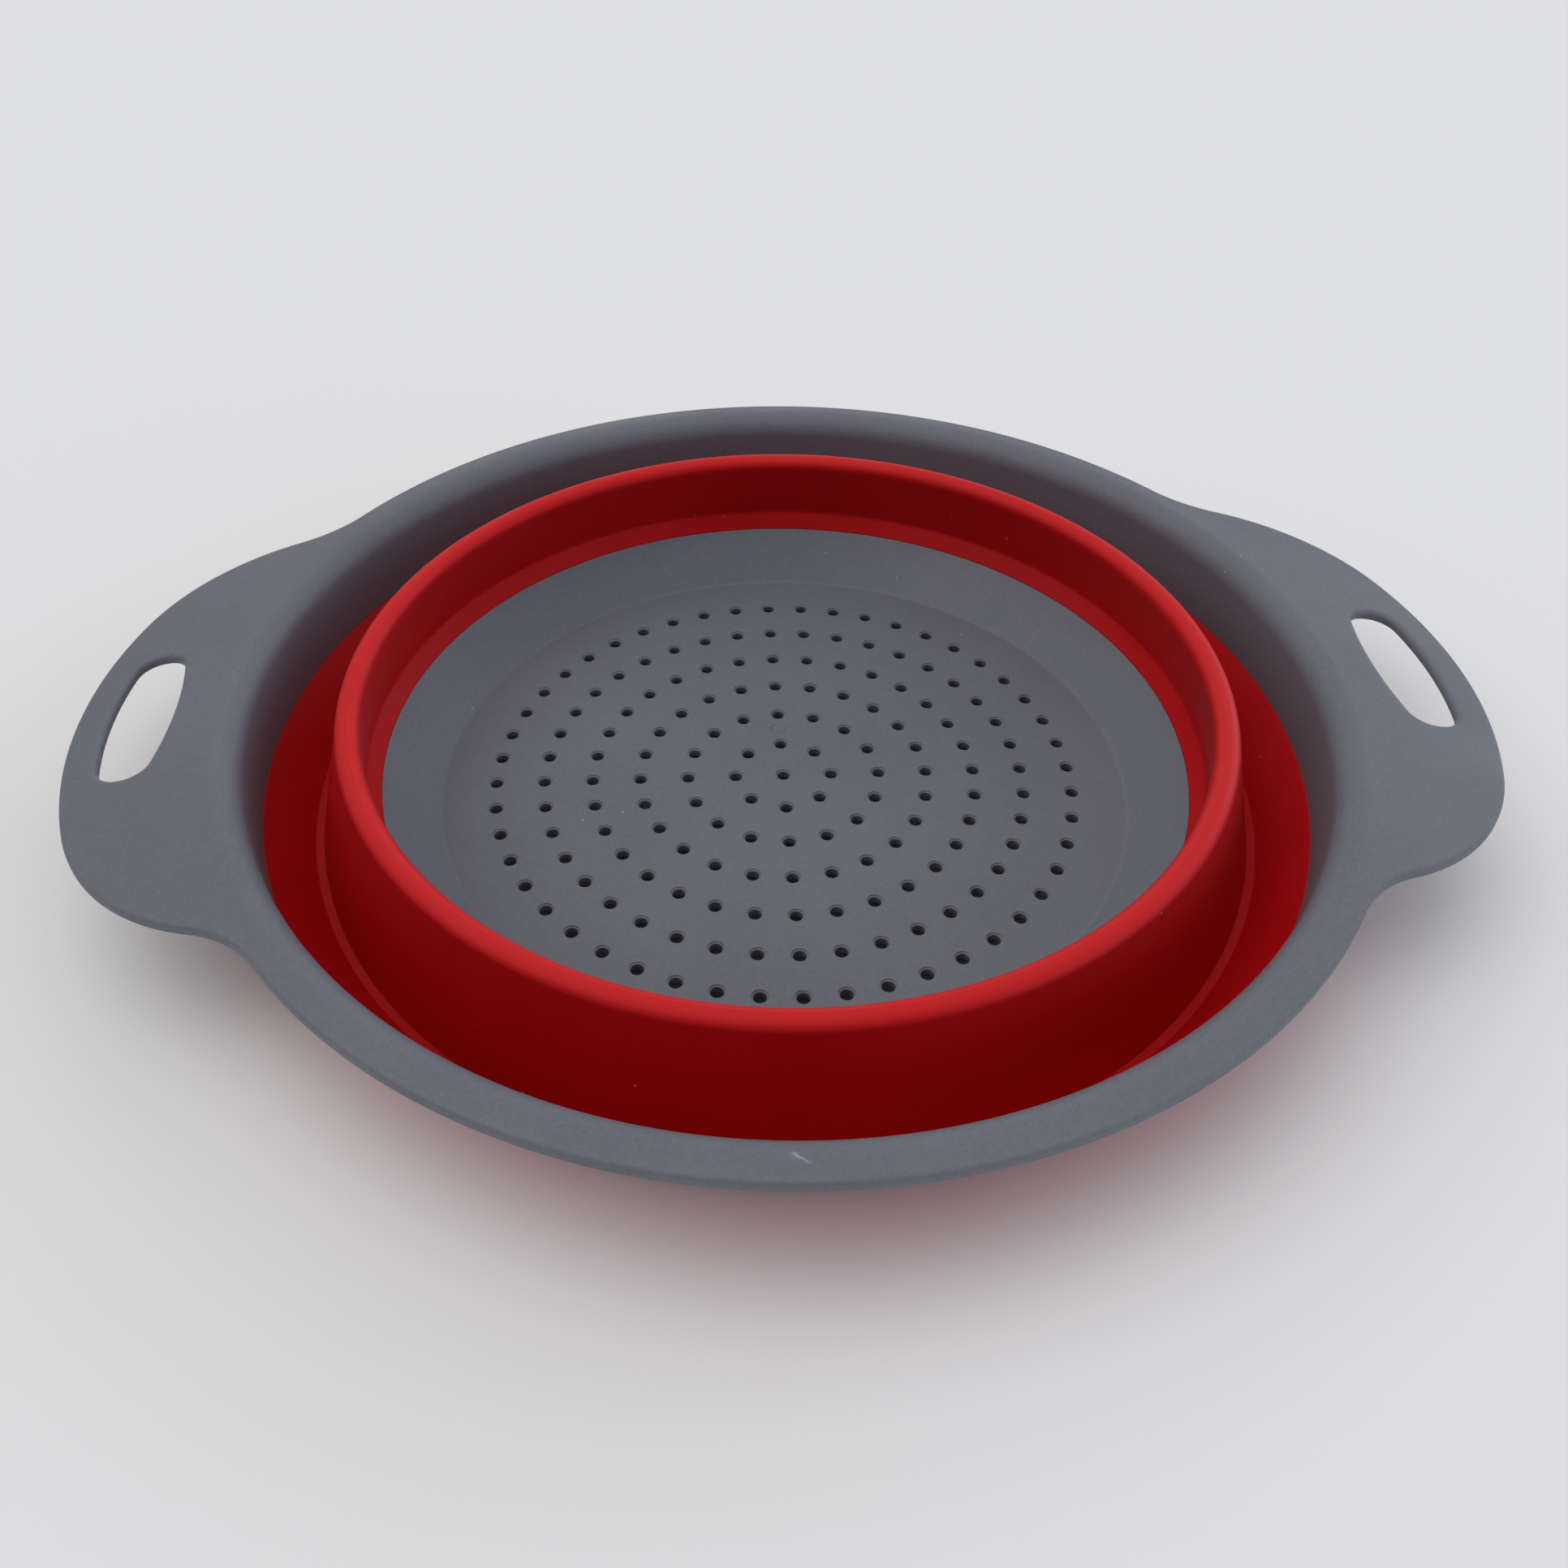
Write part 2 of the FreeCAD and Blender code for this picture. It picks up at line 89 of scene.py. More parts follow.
HOLE_PITCH, HOLE_RINGS, HOLES_PER_RING = 10.43, 6, 8
HOLE_RADIUS, BORE_RADIUS, BORE_DEPTH = 1.35, 1.7, 0.3
BORE_BEVEL, BORE_HEEL, HOLE_BEVEL, HOLE_MARGIN = 0.03, 0.02, 0.05, 0.15
HOLE_TWIST = math.radians(-1.16)


# ------------------------------------------------------------------ outlines in the plan
def arc(centre, radius, first, last, step=ARC_STEP):
    """Points along an arc between two angles in degrees, both ends included."""
    count = max(2, math.ceil(abs(last - first) / step))
    angles = [math.radians(first + (last - first) * i / count) for i in range(count + 1)]
    return [(centre[0] + radius * math.cos(a), centre[1] + radius * math.sin(a)) for a in angles]


def corners_rounded(corners, closed=True):
    """The points of an outline of (x, y, rounding) corners, with each corner rounded."""
    count = len(corners)
    result = []
    for i, (x, y, radius) in enumerate(corners):
        here = Vector((x, y))
        if radius == 0 or (not closed and i in (0, count - 1)):
            result.append((x, y))
            continue
        before = Vector(corners[i - 1][:2]) - here
        after = Vector(corners[(i + 1) % count][:2]) - here
        bend = before.angle(after)
        reach = radius / math.tan(bend / 2)
        halfway = (before.normalized() + after.normalized()).normalized()
        middle = here + halfway * (radius / math.sin(bend / 2))
        begin = here + before.normalized() * reach - middle
        finish = here + after.normalized() * reach - middle
        first = math.degrees(math.atan2(begin.y, begin.x))
        swing = math.degrees(math.atan2(begin.x * finish.y - begin.y * finish.x, begin.dot(finish)))
        result += arc(middle, radius, first, first + swing)
    return result


def with_steps(points, longest, closed=True):
    """Adds points so that no straight is longer than a length, with one close to each end to hold it flat."""
    result = []
    for i, point in enumerate(points):
        result.append(point)
        if i == len(points) - 1 and not closed:
            break
        a, b = Vector(point), Vector(points[(i + 1) % len(points)])
        length = (b - a).length
        if length > 4 * HOLD:
            inner = max(1, math.ceil((length - 2 * HOLD) / longest))
            places = [HOLD + (length - 2 * HOLD) * k / inner for k in range(inner + 1)]
            result += [tuple(a.lerp(b, place / length)) for place in places]
    return result


# ------------------------------------------------------------------ mesh building
class Build:
    """Collects vertices and faces, in millimetres, and makes one smooth-shaded object of them."""

    def __init__(self):
        self.points = []
        self.faces = []

    def ring(self, places):
        """Adds points and returns their numbers."""
        start = len(self.points)
        self.points += places
        return list(range(start, len(self.points)))

    def join(self, first, second):
        """Quads between two closed loops of the same length."""
        count = len(first)
        for i in range(count):
            j = (i + 1) % count
            self.faces.append((first[i], first[j], second[j], second[i]))

    def chain(self, loops):
        """Quads between each loop and the next. Returns the first loop and the last."""
        for first, second in zip(loops, loops[1:]):
            self.join(first, second)
        return loops[0], loops[-1]

    def fill(self, loops, inside, lift, spacing):
        """Fills the plan area between closed loops with triangles. lift gives the inner points' heights."""
        border = [number for loop in loops for number in loop]
        flat = [Vector(self.points[n][:2]) for n in border]
        edges = []
        offset = 0
        for loop in loops:
            size = len(loop)
            edges += [(offset + i, offset + (i + 1) % size) for i in range(size)]
            offset += size
        low = [min(p[k] for p in flat) for k in (0, 1)]
        high = [max(p[k] for p in flat) for k in (0, 1)]
        near = Nearness(flat, spacing)
        extra = []
        row_height = spacing * math.sqrt(3) / 2
        for row in range(int((high[1] - low[1]) / row_height) + 1):
            y = low[1] + row * row_height
            for column in range(int((high[0] - low[0]) / spacing) + 1):
                x = low[0] + (column + 0.5 * (row % 2)) * spacing
                if inside(x, y) and not near.close(x, y):
                    extra.append(Vector((x, y)))
        numbers = border + self.ring([(p.x, p.y, lift(p.x, p.y)) for p in extra])
        _, _, triangles, sources, _, _ = delaunay_2d_cdt(flat + extra, edges, [], 0, 1e-6)
        for triangle in triangles:
            originals = [sources[corner][0] for corner in triangle]
            places = [(flat + extra)[o] for o in originals]
            middle = sum(places, Vector((0, 0))) / 3
            if inside(middle.x, middle.y):
                self.faces.append(tuple(numbers[o] for o in originals))

    def finish(self, name, material):
        """Makes the object, in metres, with its faces turned outwards."""
        mesh = bpy.data.meshes.new(name)
        mesh.from_pydata([tuple(c * MM for c in p) for p in self.points], [], self.faces)
        mesh.validate()
        piece = bpy.data.objects.new(name, mesh)
        bpy.context.scene.collection.objects.link(piece)
        bpy.context.view_layer.objects.active = piece
        face_outwards(mesh)
        mesh.polygons.foreach_set("use_smooth", [True] * len(mesh.polygons))
        mesh.materials.append(material)
        return piece


class Nearness:
    """Tells whether a place is close to one of a set of points."""

    def __init__(self, places, distance):
        self.cell = distance
        self.reach = CLEAR_SHARE * distance
        self.cells = {}
        for p in places:
            self.cells.setdefault(self.key(p[0], p[1]), []).append(p)

    def key(self, x, y):
        """The cell that a place lies in."""
        return (math.floor(x / self.cell), math.floor(y / self.cell))

    def close(self, x, y):
        """True where one of the points is within reach."""
        column, row = self.key(x, y)
        for i in (column - 1, column, column + 1):
            for j in (row - 1, row, row + 1):
                for p in self.cells.get((i, j), ()):
                    if math.hypot(p[0] - x, p[1] - y) < self.reach:
                        return True
        return False


def face_outwards(mesh):
    """Turns the front of every face to the outside."""
    shell = bmesh.new()
    shell.from_mesh(mesh)
    bmesh.ops.recalc_face_normals(shell, faces=shell.faces)
    shell.to_mesh(mesh)
    shell.free()


def round_ring(radius, height, segments=TURN_SEGMENTS):
    """Points evenly round the Z axis."""
    turns = [2 * math.pi * i / segments for i in range(segments)]
    return [(radius * math.cos(a), radius * math.sin(a), height) for a in turns]


def turned(name, section, material):
    """A ring turned from a closed section of (radius, height) points."""
    build = Build()
    rings = [build.ring(round_ring(radius, height)) for radius, height in section]
    build.chain(rings + rings[:1])
    return build.finish(name, material)


# ------------------------------------------------------------------ materials
# the scuff's place and size are in metres and its turn in radians
SCUFF_PLACE = (-0.0073, -0.1147, LIP_HEIGHT * MM)
SCUFF_SIZE, SCUFF_TURN = (0.0023, 0.0008, 0.004), -0.6


def node(tree, kind, inputs=None, **settings):
    """Adds a shader node, with its settings and the values or links of its inputs."""
    made = tree.nodes.new(kind)
    for key, value in settings.items():
        setattr(made, key, value)
    for key, value in (inputs or {}).items():
        if isinstance(value, bpy.types.NodeSocket):
            tree.links.new(value, made.inputs[key])
        else:
            made.inputs[key].default_value = value
    return made


def new_material(name):
    """A material, with its tree, its shader and the object's coordinates."""
    material = bpy.data.materials.new(name)
    material.use_nodes = True
    tree = material.node_tree
    shader = tree.nodes["Principled BSDF"]
    place = node(tree, "ShaderNodeTexCoord").outputs["Object"]
    return material, tree, shader, place


def noise(tree, place, scale, detail, roughness=0.5):
    """Soft noise, with its scale in cycles to a unit of the place."""
    inputs = {
        "Vector": place,
        "Scale": scale,
        "Detail": detail,
        "Roughness": roughness,
    }
    return node(tree, "ShaderNodeTexNoise", inputs).outputs["Fac"]


def spread(tree, value, low, high, to_low, to_high):
    """A value between low and high, carried over to another range and held within it."""
    inputs = {
        "Value": value,
        "From Min": low,
        "From Max": high,
        "To Min": to_low,
        "To Max": to_high,
    }
    return node(tree, "ShaderNodeMapRange", inputs).outputs["Result"]


def colour_mix(tree, share, first, second):
    """The first colour, with a share of the second."""
    mixer = node(tree, "ShaderNodeMix", data_type="RGBA")
    for key, value in (("Factor", share), ("A", first), ("B", second)):
        socket = next(s for s in mixer.inputs if s.name == key and s.enabled)
        if isinstance(value, bpy.types.NodeSocket):
            tree.links.new(value, socket)
        else:
            socket.default_value = value
    return next(s for s in mixer.outputs if s.enabled)


def laid_over(tree, tone, mask, low, high, most, colour):
    """The tone with a colour over it where the mask rises from low to high, up to a largest share."""
    return colour_mix(tree, spread(tree, mask, low, high, 0.0, most), tone, colour)


def dust(tree, place, scale, size):
    """A mask of sparse specks, with their size as a share of a cell."""
    cells = node(tree, "ShaderNodeTexVoronoi", {"Vector": place, "Scale": scale, "Randomness": 1.0})
    speck = spread(tree, cells.outputs["Distance"], size, size * 0.55, 0.0, 1.0)
    chosen = node(tree, "ShaderNodeSeparateColor", {"Color": cells.outputs["Color"]}).outputs["Red"]
    rare = spread(tree, chosen, 0.86, 0.93, 0.0, 1.0)
    return product(tree, speck, rare)


def product(tree, first, second):
    """Two values multiplied."""
    return node(tree, "ShaderNodeMath", {0: first, 1: second}, operation="MULTIPLY").outputs[0]


def scratches(tree, place):
    """A mask of short hairline scratches in two directions, in scattered patches."""
    masks = []
    for turn, seed in ((0.4, 3.0), (-0.9, 17.0)):
        stretch = node(
            tree, "ShaderNodeMapping",
            {"Vector": place, "Location": (seed, seed, 0), "Rotation": (0, 0, turn), "Scale": (75, 1900, 75)},
        ).outputs["Vector"]
        line = noise(tree, stretch, 1.0, 2.0)
        patch = spread(tree, noise(tree, stretch, 0.5, 1.0), 0.55, 0.68, 0.0, 1.0)
        masks.append(product(tree, spread(tree, line, 0.74, 0.80, 0.0, 1.0), patch))
    return node(tree, "ShaderNodeMath", {0: masks[0], 1: masks[1]}, operation="MAXIMUM").outputs[0]


def scuff(tree, place):
    """A small rubbed mark near the middle of the front flange, made of short light strokes."""
    scaled = node(
        tree, "ShaderNodeMapping",
        {"Vector": place, "Location": SCUFF_PLACE, "Rotation": (0, 0, SCUFF_TURN), "Scale": SCUFF_SIZE},
        vector_type="TEXTURE",
    ).outputs["Vector"]
    away = node(tree, "ShaderNodeVectorMath", {0: scaled}, operation="LENGTH").outputs["Value"]
    near = spread(tree, away, 1.0, 0.3, 0.0, 1.0)
    strokes = spread(tree, noise(tree, scaled, 2.2, 3.0, roughness=0.6), 0.42, 0.58, 0.0, 1.0)
    return product(tree, near, strokes)


def grey_plastic():
    """Matt moulded polypropylene with a fine spark-eroded grain, faint mottling, dust and hairlines."""
    material, tree, shader, place = new_material("grey_plastic")
    tone = colour_mix(tree, spread(tree, noise(tree, place, 22.0, 4.0), 0.3, 0.7, 0.0, 1.0),
                      (0.130, 0.140, 0.168, 1), (0.148, 0.161, 0.190, 1))
    mottle = noise(tree, place, 900.0, 3.0, roughness=0.65)
    pores = noise(tree, place, 2300.0, 1.0)
    specks = dust(tree, place, 230.0, 0.06)
    for mask, low, high, most, colour in (
        (mottle, 0.35, 0.65, 0.30, (0.185, 0.200, 0.235, 1)),
        (pores, 0.56, 0.70, 0.30, (0.085, 0.092, 0.110, 1)),
        (specks, 0.0, 1.0, 0.6, (0.55, 0.56, 0.58, 1)),
        (scratches(tree, place), 0.0, 1.0, 0.16, (0.45, 0.46, 0.49, 1)),
        (scuff(tree, place), 0.0, 1.0, 0.7, (0.45, 0.46, 0.49, 1)),
    ):
        tone = laid_over(tree, tone, mask, low, high, most, colour)
    tree.links.new(tone, shader.inputs["Base Color"])
    rough = spread(tree, noise(tree, place, 60.0, 5.0), 0.3, 0.7, 0.48, 0.60)
    tree.links.new(rough, shader.inputs["Roughness"])
    shader.inputs["IOR"].default_value = 1.49
    shader.inputs["Specular IOR Level"].default_value = 0.42
    grain = noise(tree, place, 2400.0, 2.0)
    bump = node(tree, "ShaderNodeBump", {"Height": grain, "Strength": 0.22, "Distance": 0.0001})
    swell = node(tree, "ShaderNodeBump", {
        "Height": noise(tree, place, 16.0, 1.0),
        "Strength": 0.10,
        "Distance": 0.002,
        "Normal": bump.outputs["Normal"],
    })
    tree.links.new(swell.outputs["Normal"], shader.inputs["Normal"])
    return material


def red_rubber():
    """Satin silicone-like rubber: deep red, a soft sheen, a very fine skin texture and clinging dust, with a
    painted highlight of paler red on the crest's top.
    """
    material, tree, shader, place = new_material("red_wall")
    tone = colour_mix(tree, spread(tree, noise(tree, place, 30.0, 4.0), 0.3, 0.7, 0.0, 1.0),
                      (0.43, 0.0020, 0.0040, 1), (0.49, 0.0035, 0.0060, 1))
    mottle = noise(tree, place, 700.0, 2.0)
    tone = laid_over(tree, tone, mottle, 0.4, 0.75, 0.14, (0.32, 0.002, 0.004, 1))
    # painted highlight: the crest's top is painted a paler red where light falls on the roll, read from the
    # mesh's crest attribute
    painted_crest_highlight = node(tree, "ShaderNodeAttribute", attribute_name="crest").outputs["Fac"]
    tone = colour_mix(tree, painted_crest_highlight, tone, (0.63, 0.015, 0.017, 1))
    specks = dust(tree, place, 250.0, 0.07)
    tone = laid_over(tree, tone, specks, 0.0, 1.0, 0.5, (0.75, 0.30, 0.28, 1))
    tree.links.new(tone, shader.inputs["Base Color"])
    rough = spread(tree, noise(tree, place, 80.0, 5.0), 0.3, 0.7, 0.46, 0.56)
    tree.links.new(rough, shader.inputs["Roughness"])
    shader.inputs["IOR"].default_value = 1.43
    shader.inputs["Specular IOR Level"].default_value = 0.28
    shader.inputs["Specular Tint"].default_value = (1.0, 0.55, 0.55, 1)
    grain = noise(tree, place, 1800.0, 2.0)
    bump = node(tree, "ShaderNodeBump", {"Height": grain, "Strength": 0.10, "Distance": 0.0001})
    tree.links.new(bump.outputs["Normal"], shader.inputs["Normal"])
    return material


GREY = grey_plastic()
RED = red_rubber()


# ------------------------------------------------------------------ rim, handles and skirt
TIP_RADIUS, TIP_ANGLE = 93.0, 21.25
SHOULDER_RADIUS = 45.6
NECK_RADIUS = 24.9
SLOT_ENDS, SLOT_HALF_LENGTH = (127.3, 136.05), 19.6
SLOT_BOW, SLOT_CORNER = 83.0, 5.0
OUTLINE_STEP, SLOT_STEP = 1.4, 0.9


def plate_top(radius):
    """Height of the drooping plate's upper face."""
    return LIP_HEIGHT - (radius - LIP_RADIUS) * DROOP


def handle_quarter():
    """The outline from the handle's tip to the middle of the rim, as (x, y, outward x, outward y)."""
    tip_centre = Vector((HANDLE_REACH - TIP_RADIUS, 0))
    slant = math.radians(TIP_ANGLE)
    shoulder_centre = tip_centre + Vector((math.cos(slant), math.sin(slant))) * (TIP_RADIUS - SHOULDER_RADIUS)
    # the neck's centre is a fixed distance from both the shoulder's centre and the rim's
    to_shoulder = SHOULDER_RADIUS + NECK_RADIUS
    to_rim = RIM_RADIUS + NECK_RADIUS
    span = shoulder_centre.length
    along = (to_rim**2 - to_shoulder**2 + span**2) / (2 * span)
    across = math.sqrt(to_rim**2 - along**2)
    unit = shoulder_centre.normalized()
    neck_centre = unit * along + Vector((-unit.y, unit.x)) * across
    shoulder_end = math.degrees(math.atan2(*reversed(neck_centre - shoulder_centre)))
    neck_turn = math.degrees(math.atan2(neck_centre.y, neck_centre.x))
    stretches = [
        (tip_centre, TIP_RADIUS, 0, TIP_ANGLE, 1),
        (shoulder_centre, SHOULDER_RADIUS, TIP_ANGLE, shoulder_end, 1),
        (neck_centre, NECK_RADIUS, shoulder_end - 180, neck_turn - 180, -1),
        (Vector((0, 0)), RIM_RADIUS, neck_turn, 90, 1),
    ]
    result = []
    for centre, radius, first, last, sign in stretches:
        step = math.degrees(OUTLINE_STEP / radius)
        for x, y in arc(centre, radius, first, last, step)[:-1]:
            out = (Vector((x, y)) - centre).normalized() * sign
            result.append((x, y, out.x, out.y))
    result.append((0.0, RIM_RADIUS, 0.0, 1.0))
    return result


def rim_outline():
    """The whole closed outline, anticlockwise from the right handle's tip."""
    quarter = handle_quarter()
    back_left = [(-x, y, -a, b) for x, y, a, b in reversed(quarter[:-1])]
    back = quarter + back_left
    front = [(x, -y, a, -b) for x, y, a, b in reversed(back[1:-1])]
    return back + front


def slot_outline(side):
    """A hanging slot with bowed long sides, as points and the directions that lead into the slot."""
    bow_in, bow_out = SLOT_ENDS
    sagitta = SLOT_BOW - math.sqrt(SLOT_BOW**2 - SLOT_HALF_LENGTH**2)
    outer_centre = Vector((bow_out + sagitta - SLOT_BOW, 0))
    inner_centre = Vector((bow_in - sagitta + SLOT_BOW, 0))
    corner_y = SLOT_HALF_LENGTH - SLOT_CORNER
    reach = math.sqrt((SLOT_BOW - SLOT_CORNER) ** 2 - corner_y**2)
    swing = math.degrees(math.asin(corner_y / (SLOT_BOW - SLOT_CORNER)))
    stretches = [
        (outer_centre, SLOT_BOW, -swing, swing),
        (outer_centre + Vector((reach, corner_y)), SLOT_CORNER, swing, 90),
        (inner_centre + Vector((-reach, corner_y)), SLOT_CORNER, 90, 180 - swing),
        (inner_centre, SLOT_BOW, 180 - swing, 180 + swing),
        (inner_centre + Vector((-reach, -corner_y)), SLOT_CORNER, 180 + swing, 270),
        (outer_centre + Vector((reach, -corner_y)), SLOT_CORNER, 270, 360 - swing),
    ]
    result = []
    for number, (centre, radius, first, last) in enumerate(stretches):
        points = arc(centre, radius, first, last, math.degrees(SLOT_STEP / radius))
        smooth_join = number in (0, 2, 3, 5)
        for x, y in points[:-1] if smooth_join else points:
            into = (centre - Vector((x, y))).normalized()
            result.append((x * side, y, into.x * side, into.y))
    return result if side > 0 else result[::-1]


def edge_stations(top_round):
    """Steps over the plate's rounded edge, as (distance in from the edge, drop from the upper face)."""
    low = -(PLATE_DEPTH - UNDER_ROUND)
    over = [(top_round + x, -top_round + y) for x, y in arc((0, 0), top_round, 90, 180, step=15)]
    under = [(UNDER_ROUND + x, low + y) for x, y in arc((0, 0), UNDER_ROUND, 180, 270, step=18)]
    first = (top_round + EDGE_MARGIN, 0.0)
    last = (UNDER_ROUND + EDGE_MARGIN, -PLATE_DEPTH)
    return [first, *over, (0.0, (low - top_round) / 2), *under, last]


def inside_polygon(loop):
    """A test for a plan point being inside a closed loop of points."""
    def test(x, y):
        hit = False
        for i, (x1, y1, *_) in enumerate(loop):
            x0, y0 = loop[i - 1][:2]
            if (y0 > y) != (y1 > y) and x < (x1 - x0) * (y - y0) / (y1 - y0) + x0:
                hit = not hit
        return hit
    return test


def make_rim():
    """Skirt, lip, flange and both handles in one moulding."""
    build = Build()
    under = LIP_RADIUS + SKIRT_THICKNESS
    section = with_steps(corners_rounded([
        (FLANGE_START, plate_top(FLANGE_START), 0),
        (LIP_RADIUS, LIP_HEIGHT, LIP_FILLET),
        (SKIRT_RADIUS, SKIRT_HEIGHT, 0.2),
        (SKIRT_RADIUS + SKIRT_FOOT, SKIRT_HEIGHT, 0),
        (under, plate_top(under) - PLATE_DEPTH, LIP_FILLET - SKIRT_THICKNESS),
        (FLANGE_START, plate_top(FLANGE_START) - PLATE_DEPTH, 0),
    ], closed=False), SECTION_STEP, closed=False)
    top_ring, under_ring = build.chain([build.ring(round_ring(r, z, RIM_SEGMENTS)) for r, z in section])

    def edge_loops(outline, top_round):
        """The first and last loops over an edge: on the upper face and on the lower one."""
        loops = []
        for inset, drop in edge_stations(top_round):
            places = [(x - a * inset, y - b * inset) for x, y, a, b in outline]
            loops.append(build.ring([(x, y, plate_top(math.hypot(x, y)) + drop) for x, y in places]))
        return build.chain(loops)

    borders = [edge_loops(rim_outline(), EDGE_ROUND)]
    borders += [edge_loops(slot_outline(side), SLOT_ROUND) for side in (1, -1)]
    for level, ring, drop in ((0, top_ring, 0.0), (1, under_ring, -PLATE_DEPTH)):
        loops = [border[level] for border in borders]
        in_outline, *in_slots = [inside_polygon([build.points[n] for n in loop]) for loop in loops]

        def on_plate(x, y):
            if math.hypot(x, y) < FLANGE_START or not in_outline(x, y):
                return False
            return abs(x) <= RIM_RADIUS or not any(in_slot(x, y) for in_slot in in_slots)

        build.fill([ring, *loops], on_plate, lambda x, y: plate_top(math.hypot(x, y)) + drop, RIM_SPACING)
    piece = build.finish("rim_moulding", GREY)
    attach(piece, "rim")
    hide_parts("rim_skirt", "left_handle", "right_handle", "front_flange", "back_flange")


# ------------------------------------------------------------------ strainer base
FLARE_SLOPE = (FLARE_TOP - FLOOR_TOP) / (FLARE_RADIUS - FLOOR_RADIUS)
FLAT_RADIUS = 70.0
FOOT_IN, FOOT_OUT, FOOT_HALF_ARC, FOOT_COUNT = 66.0, 72.0, 12.0, 4
UNDER_CORNER, UNDER_EDGE = FLOOR_RADIUS + 0.83, FOOT_OUT + 0.9
FOOT_STEPS, FOOT_END_STEPS = 12, 9
# over a foot's edges and down to its sole: distance in from its outline, and height
FOOT_STATIONS = (
    (-0.5, FEET_HEIGHT), (-0.12, FEET_HEIGHT - 0.1), (0, FEET_HEIGHT - 0.5),
    (0, 0.6), (0.12, 0.22), (0.5, 0.0),
)
GATE_PLACE, GATE_RADIUS = (0.0, 15.6), 1.7
# into the shallow round gate mark: radius, and drop from the floor
GATE_STATIONS = ((GATE_RADIUS + 0.15, 0), (GATE_RADIUS, -0.06), (GATE_RADIUS - 0.1, -0.22), (1.0, -0.2))


def under_flare(radius):
    """Height of the flared wall's lower face."""
    return FLOOR_TOP - FLARE_DEPTH + (radius - FLOOR_RADIUS) * FLARE_SLOPE


def hole_places():
    """The middles of the drain holes: one on the axis, and the rings round it."""
    places = [(0.0, 0.0)]
    for ring in range(1, HOLE_RINGS + 1):
        for k in range(HOLES_PER_RING * ring):
            angle = HOLE_TWIST + 2 * math.pi * k / (HOLES_PER_RING * ring)
            places.append((HOLE_PITCH * ring * math.cos(angle), HOLE_PITCH * ring * math.sin(angle)))
    return places


def foot_outline(turn):
    """One arc-shaped foot in the plan, with its rounded ends, and outward directions."""
    middle, half = (FOOT_IN + FOOT_OUT) / 2, (FOOT_OUT - FOOT_IN) / 2
    sweep = FOOT_HALF_ARC - math.degrees(half / middle)
    result = []
    for side, radius, facing in ((1, FOOT_OUT, 0), (-1, FOOT_IN, 180)):
        for step in range(FOOT_STEPS + 1):
            a = math.radians(turn + side * (2 * sweep * step / FOOT_STEPS - sweep))
            across, along = math.cos(a), math.sin(a)
            result.append((radius * across, radius * along, side * across, side * along))
        end = turn + side * sweep
        centre = Vector((math.cos(math.radians(end)), math.sin(math.radians(end)))) * middle
        for step in range(1, FOOT_END_STEPS):
            b = math.radians(end + facing + 180 * step / FOOT_END_STEPS)
            out = Vector((math.cos(b), math.sin(b)))
            result.append((*(centre + out * half), *out))
    return result


def off_holes(x, y, clear):
    """True where the nearest drain hole's middle is further than a distance."""
    radius = math.hypot(x, y)
    ring = round(radius / HOLE_PITCH)
    if ring > HOLE_RINGS:
        return True
    if ring == 0:
        return radius > clear
    step = 2 * math.pi / (HOLES_PER_RING * ring)
    nearest = HOLE_TWIST + round((math.atan2(y, x) - HOLE_TWIST) / step) * step
    return math.hypot(x - HOLE_PITCH * ring * math.cos(nearest),
                      y - HOLE_PITCH * ring * math.sin(nearest)) > clear


